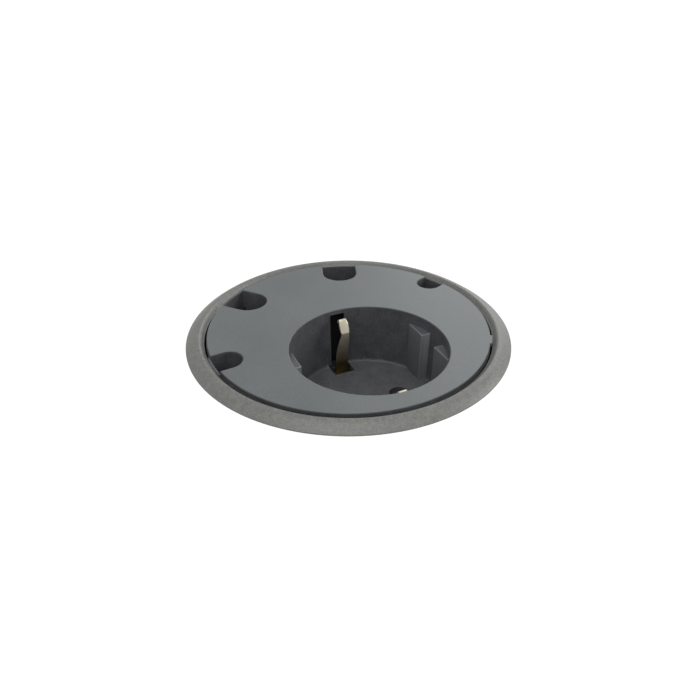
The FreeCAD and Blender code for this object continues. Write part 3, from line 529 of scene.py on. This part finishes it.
def make_disc():
    """The cover disc with its notches, key tab and plug opening."""
    rim = notched_disc(DISC_RADIUS - RIM_GAP, COLLAR_WALL + HAIR, key=True)
    opening = in_socket(circle(OPENING_RADIUS))
    mesh = plate_mesh(rim, [opening], DISC_BOTTOM, DISC_TOP, DISC_EDGE)
    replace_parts(finish_mesh("cover_disc_plate", mesh, "disc_grey", "housing"), "cover_disc")


def notch_wall(notch, wall, limit, bottom, top):
    """A U-shaped wall round one notch that ends at a limiting radius."""
    angle, width, reach = notch
    half = width / 2
    centre = reach + half
    far = math.sqrt(limit ** 2 - (half + wall) ** 2)
    inside = math.sqrt(limit ** 2 - half ** 2)
    bend = arc(half + wall, -90, -270, centre, 0, NOTCH_STEPS)
    outer = [(far, -half - wall)] + bend + [(far, half + wall)]
    inner = [(inside, half)] + arc(half, -270, -90, centre, 0, NOTCH_STEPS) + [(inside, -half)]
    return plate_mesh(turned(outer + inner, angle), [], bottom, top)


def upright(inner, outer, bottom, top):
    """The profile of a round wall between two radii and two heights."""
    return [(inner, bottom), (inner, top), (outer, top), (outer, bottom)]


def notch_walls(notch):
    """The skirt below a notch, its step out over the barrel's seat, the collar in the disc, the end wall."""
    angle, width, _ = notch
    spread = math.degrees(math.asin((width / 2 + END_WALL_MARGIN) / END_WALL_RADIUS))
    profile = upright(END_WALL_RADIUS, RING_BORE - END_WALL_GAP, -SEAT_DEPTH - OVERLAP, END_WALL_TOP)
    return [
        notch_wall(notch, SKIRT_WALL, SKIRT_REACH + SKIRT_MARGIN, -SKIRT_DEPTH, -SEAT_DEPTH),
        notch_wall(notch, SKIRT_WALL, END_WALL_RADIUS, -SEAT_DEPTH, DECK_BOTTOM),
        notch_wall(notch, COLLAR_WALL, END_WALL_RADIUS - COLLAR_SHORT, DISC_BOTTOM - OVERLAP, COLLAR_TOP),
        lathe_mesh(profile, 16, span=(angle - spread, angle + spread)),
    ]


def rim_shade_sheet():
    """A thin dark sheet in the moulding's colour round the disc's rim, open at the cable notches: painted
    shade over the disc's side in the gap under the ring.
    """
    profile = upright(DISC_RADIUS - RIM_SHADE_SHEET, DISC_RADIUS, DISC_BOTTOM - OVERLAP, COLLAR_TOP)
    mouths = []
    for angle, width, _ in NOTCHES:
        spread = math.degrees(math.asin((width / 2 + COLLAR_WALL) / DISC_RADIUS))
        mouths.append((angle - spread, angle + spread))
    ends = [end for _, end in mouths]
    starts = [start for start, _ in mouths[1:]] + [mouths[0][0] + 360]
    return [lathe_mesh(profile, 80, span=span) for span in zip(ends, starts)]


def slot_shade_linings():
    """Dark sheets inside the two earth slots of the well's wall, painted shade for the slots' deep insides.
    """
    half, near, far = WALL_SLOT_HALF, SHADE_LINING_START, SLOT_END
    outline = [(-half, near), (-half + SHADE_LINING, near), (-half + SHADE_LINING, far - SHADE_LINING),
               (half - SHADE_LINING, far - SHADE_LINING), (half - SHADE_LINING, near), (half, near), (half, far), (-half, far)]
    top = DISC_BOTTOM - HAIR
    return [plate_mesh(in_socket(turned(outline, side)), [], -WELL_DEPTH, top) for side in (0, 180)]


def guide_ribs():
    """The four ribs of the plug well, with rounded edges."""
    ribs = []
    root = WELL_RADIUS + RIB_SINK
    for side in (0, 180):
        for inner, outer in ((RIB_INNER, RIB_OUTER), (-RIB_OUTER, -RIB_INNER)):
            corners = [(root, inner), (RIB_CHORD, inner), (RIB_CHORD, outer), (root, outer)]
            outline = in_socket(turned(rounded(corners, RIB_CORNER), side))
            ribs.append(plate_mesh(outline, [], -WELL_DEPTH - RIB_SINK, -RIB_DEPTH, RIB_EDGE, 3))
    return ribs


def floor_fillets():
    """A small hollow rounding where the well's wall meets its floor, left open at the earth slots."""
    slot = math.degrees(math.asin(SLOT_HALF / WELL_RADIUS)) + FILLET_MARGIN
    hollow = arc(FILLET, -90, 0, WELL_RADIUS - FILLET, -WELL_DEPTH + FILLET, 5)
    back, below = WELL_RADIUS + OVERLAP, -WELL_DEPTH - OVERLAP
    profile = hollow + [(back, -WELL_DEPTH + FILLET), (back, below), (WELL_RADIUS - FILLET, below)]
    pieces = []
    for middle in (0, 180):
        span = (SOCKET_ANGLE + middle - 90 + slot, SOCKET_ANGLE + middle + 90 - slot)
        pieces.append(lathe_mesh(profile, 72, SOCKET_X, SOCKET_Y, span))
    return pieces


def drafted(mesh):
    """The plug well's wall leaning outwards a little from its floor up to its rim."""
    centre = Vector((SOCKET_X, SOCKET_Y, 0)) * MM
    for vertex in mesh.vertices:
        out = vertex.co - centre
        out.z = 0
        if vertex.co.z > 0 and out.length < (WELL_RADIUS + 0.05) * MM:
            vertex.co += out.normalized() * WELL_DRAFT * MM
    return mesh


def make_insert():
    """The dark moulding: deck, plug well, floor, chamber, ribs and walls, with dark sheets of painted shade
    in the earth slots and round the disc's rim.
    """
    pins = [in_socket(circle(PIN_HOLE, side * PIN_OFFSET, 0, 48)) for side in (-1, 1)]
    slots = []
    for side in (-1, 1):
        near, far = sorted((side * SLOT_START, side * SLOT_END))
        slots.append(in_socket([(-SLOT_HALF, near), (SLOT_HALF, near), (SLOT_HALF, far), (-SLOT_HALF, far)]))
    cup = in_socket(circle(CUP_RADIUS))
    deck_hole = in_socket(circle(CUP_RADIUS - LAP))
    chamber = upright(CUP_RADIUS, CHAMBER_RADIUS, FLOOR_BOTTOM, -INSERT_DEPTH)
    collar = [(WELL_RADIUS + WELL_DRAFT, DISC_BOTTOM), (OPENING_RADIUS - COLLAR_WALL, COLLAR_TOP),
              (OPENING_RADIUS - COLLAR_GAP, COLLAR_TOP), (OPENING_RADIUS - COLLAR_GAP, DISC_BOTTOM)]
    meshes = [
        plate_mesh(notched_disc(DECK_RADIUS), [deck_hole], DECK_BOTTOM, DISC_BOTTOM - DECK_DROP),
        drafted(plate_mesh(cup, [in_socket(well_outline())], -WELL_DEPTH, DISC_BOTTOM)),
        plate_mesh(cup, pins + slots, FLOOR_BOTTOM, -WELL_DEPTH),
        lathe_mesh(chamber, 96, SOCKET_X, SOCKET_Y),
        lathe_mesh(collar, FINE_STEPS, SOCKET_X, SOCKET_Y),
    ]
    # Painted shade: a dark sheet over the disc's side face in the gap under the ring
    meshes += rim_shade_sheet()
    for notch in NOTCHES:
        meshes += notch_walls(notch)
    ribs = guide_ribs() + floor_fillets()
    pieces = (
        ("insert_moulding", meshes, "insert_dark"),
        # Painted highlights along the ribs' edges
        ("insert_ribs", ribs, "rib_dark_painted_highlights"),
        # Painted shade: dark sheets inside the earth slots
        ("insert_slot_shade", slot_shade_linings(), "slot_painted_shade"),
    )
    for name, parts, material in pieces:
        piece = finish_mesh(name, joined(parts), material, "housing")
        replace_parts(piece, "socket_insert")


def barrel_section(angle):
    """The barrel's wall at one angle: flange, neck, threaded outside, bore and seat."""
    points = [(RING_BORE, FLANGE_THICKNESS), (FLANGE_RADIUS, FLANGE_THICKNESS), (FLANGE_RADIUS, 0.0),
              (NECK_RADIUS, 0.0), (NECK_RADIUS, -NECK_LENGTH)]
    thread_end = BARREL_DEPTH - BARREL_CHAMFER
    rows = 8 * int((thread_end - NECK_LENGTH) / THREAD_PITCH)
    for k in range(rows + 1):
        depth = NECK_LENGTH + (thread_end - NECK_LENGTH) * k / rows
        phase = (depth / THREAD_PITCH + angle / (2 * math.pi)) % 1
        groove = min(1.0, max(0.0, GROOVE_LEVEL - abs(phase - 0.5) * GROOVE_SLOPE))
        fade = min(1.0, (depth - NECK_LENGTH) / THREAD_START, (thread_end - depth) / THREAD_RUNOUT)
        points.append((BARREL_RADIUS - GROOVE_DEPTH * groove * fade, -depth))
    return points + [(BARREL_RADIUS - BARREL_CHAMFER, -BARREL_DEPTH), (BARREL_BORE, -BARREL_DEPTH),
                     (BARREL_BORE, -SEAT_DEPTH), (RING_BORE, -SEAT_DEPTH)]


def make_barrel():
    """The barrel with its thread and three lugs."""
    meshes = [lathe_mesh(barrel_section, 192)]
    near, far = SCREW_CIRCLE - LUG_HALF, BARREL_BORE + LAP
    block = [(near, -LUG_HALF), (far, -LUG_HALF), (far, LUG_HALF), (near, LUG_HALF)]
    for turn in LUG_TURNS:
        hole = turned(circle(LUG_HOLE, SCREW_CIRCLE, 0, 32), turn)
        meshes.append(plate_mesh(turned(block, turn), [hole], -LUG_TOP - LUG_THICKNESS, -LUG_TOP))
    piece = finish_mesh("barrel_threaded", joined(meshes), "barrel_black", "housing", 32)
    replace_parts(piece, "barrel")


def dress_node(name, material):
    """A carried-over node gets its finish and softened edges."""
    node = NODES[name]
    node.data.materials.clear()
    node.data.materials.append(MATERIALS[material])
    soften = node.modifiers.new("soften", "BEVEL")
    soften.width = SOFT_EDGE * MM
    soften.segments = 2
    soften.limit_method = "ANGLE"
    soften.angle_limit = math.radians(35)


def clip_half_width(height):
    """Half the clip's width at a height, between the ones given."""
    for (low, narrow), (high, wide) in zip(CLIP_WIDTHS, CLIP_WIDTHS[1:]):
        if height <= high:
            return narrow + (wide - narrow) * max(0.0, height - low) / (high - low)
    return CLIP_WIDTHS[-1][1]


def smooth_line(points, steps=5):
    """A flowing line through all the points."""
    line = []
    for k in range(len(points) - 1):
        a, b, c, d = [Vector(points[min(max(k + i, 0), len(points) - 1)]) for i in (-1, 0, 1, 2)]
        for step in range(steps):
            s = step / steps
            line.append(tuple(0.5 * (2 * b + (c - a) * s + (2 * a - 5 * b + 4 * c - d) * s ** 2
                                     + (3 * b - a - 3 * c + d) * s ** 3)))
    return line + [points[-1]]


def make_earth_bracket():
    """The two earth clips and the strap that joins them below the well."""
    clips, straps = [], []
    for side, shift in ((1, REAR_CLIP_SHIFT), (-1, FRONT_CLIP_SHIFT)):
        line = [(side * v, z) for v, z in smooth_line(CLIP_LINE)]
        clips.append(strip_mesh(line, clip_half_width, CLIP_THICKNESS * side, shift))
        shoulder = [(side * SHOULDER_REACH, CLIP_FOOT), (side * STRAP_REACH, CLIP_FOOT)]
        straps.append(strip_mesh(shoulder, STRAP_HALF, CLIP_THICKNESS))
    top = CLIP_FOOT + STRAP_RISE
    strap = [(-STRAP_REACH, top), (-STRAP_REACH, STRAP_BOTTOM), (STRAP_REACH, STRAP_BOTTOM),
             (STRAP_REACH, top)]
    straps.append(strip_mesh(rounded(strap, STRAP_BEND, 5), STRAP_HALF, -STRAP_THICKNESS))
    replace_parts(finish_mesh("earth_clips", joined(clips), "clip_brass", "housing", 50), "earth_bracket")
    # Painted shade: the strap takes a darker copy of the brass
    bracket = finish_mesh("earth_strap", joined(straps), "strap_brass_painted_shade", "housing", 50)
    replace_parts(bracket, "earth_bracket")


def make_spring():
    """The shutter's spring, drawn from a copy of its node's mesh."""
    node = NODES["shutter_spring"]
    mesh = node.data.copy()
    mesh.transform(node.matrix_world)
    coil = finish_mesh("spring_coil", mesh, "screw_steel", "housing")
    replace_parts(coil, "shutter_spring")
    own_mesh(coil)


def make_desk():
    """A pale desk surface round the barrel, which isn't part of the object."""
    mesh = plate_mesh(circle(DESK_RADIUS), [circle(DESK_HOLE)], -DESK_THICKNESS, -DESK_DROP)
    desk = bpy.data.objects.new("desk_surface", mesh)
    bpy.context.scene.collection.objects.link(desk)
    material, nodes, links, shader = new_material("desk_white")
    coordinates = nodes.new("ShaderNodeTexCoord").outputs["Object"]
    links.new(ramp(nodes, links, noise(nodes, links, coordinates, 4.0), grey(0.86), grey(0.9)),
              shader.inputs["Base Color"])
    shader.inputs["Roughness"].default_value = 0.8
    glow = nodes.new("ShaderNodeEmission")
    glow.inputs["Strength"].default_value = DESK_GLOW
    mix = nodes.new("ShaderNodeMixShader")
    path = nodes.new("ShaderNodeLightPath")
    share = nodes.new("ShaderNodeMath")
    share.operation = "MULTIPLY"
    share.inputs[1].default_value = DESK_GLOW_SHARE
    links.new(path.outputs["Is Camera Ray"], share.inputs[0])
    links.new(share.outputs[0], mix.inputs["Fac"])
    links.new(shader.outputs["BSDF"], mix.inputs[1])
    links.new(glow.outputs["Emission"], mix.inputs[2])
    links.new(mix.outputs["Shader"], nodes["Material Output"].inputs["Surface"])
    mesh.materials.append(material)


def add_lamp(name, place, size, power):
    """A square lamp that points at the ring's centre."""
    lamp = bpy.data.lights.new(name, "AREA")
    lamp.size = size
    lamp.energy = power
    holder = bpy.data.objects.new(name, lamp)
    holder.location = place
    holder.rotation_euler = (-Vector(place)).to_track_quat("-Z", "Y").to_euler()
    bpy.context.scene.collection.objects.link(holder)


def make_light():
    """A white world, dimmer for all but the camera, and three soft lamps."""
    world = bpy.data.worlds.new("studio")
    bpy.context.scene.world = world
    world.use_nodes = True
    nodes, links = world.node_tree.nodes, world.node_tree.links
    background = nodes["Background"]
    path = nodes.new("ShaderNodeLightPath")
    level = nodes.new("ShaderNodeMapRange")
    level.inputs["To Min"].default_value = WORLD_LEVEL
    level.inputs["To Max"].default_value = 1.0
    links.new(path.outputs["Is Camera Ray"], level.inputs["Value"])
    links.new(level.outputs["Result"], background.inputs["Strength"])
    background.inputs["Color"].default_value = (1, 1, 1, 1)
    for lamp in LAMPS:
        add_lamp(*lamp)


def make_camera():
    """The photograph's camera, placed and aimed from its fitted angles."""
    elevation = math.radians(CAMERA_ELEVATION)
    place = Vector((0, -math.cos(elevation), math.sin(elevation))) * CAMERA_DISTANCE
    forward = -place.normalized()
    right = Vector((1, 0, 0))
    up = right.cross(forward)
    turn = Matrix.Rotation(math.radians(CAMERA_YAW), 3, up)
    forward, right = turn @ forward, turn @ right
    turn = Matrix.Rotation(math.radians(CAMERA_PITCH), 3, right)
    forward, up = turn @ forward, turn @ up
    turn = Matrix.Rotation(math.radians(CAMERA_ROLL), 3, forward)
    right, up = turn @ right, turn @ up
    data = bpy.data.cameras.new("photo_camera")
    data.sensor_width = SENSOR_MM
    data.lens = FOCAL_PIXELS / IMAGE_PIXELS * SENSOR_MM
    data.clip_start = 0.005
    camera = bpy.data.objects.new("photo_camera", data)
    rotation = Matrix((right, up, -forward)).transposed()
    camera.matrix_world = Matrix.Translation(place) @ rotation.to_4x4()
    bpy.context.scene.collection.objects.link(camera)
    bpy.context.scene.camera = camera


make_ring()
make_disc()
make_insert()
make_barrel()
make_earth_bracket()
make_spring()
redrawn = ("trim_ring", "cover_disc", "socket_insert", "barrel", "earth_bracket", "shutter_spring")
for entry in frame["record"]["subparts"]:
    if entry["node"] not in redrawn:
        dress_node(entry["node"], entry["material_slot"])
make_desk()
make_light()
make_camera()
bpy.context.scene.view_settings.view_transform = "Standard"
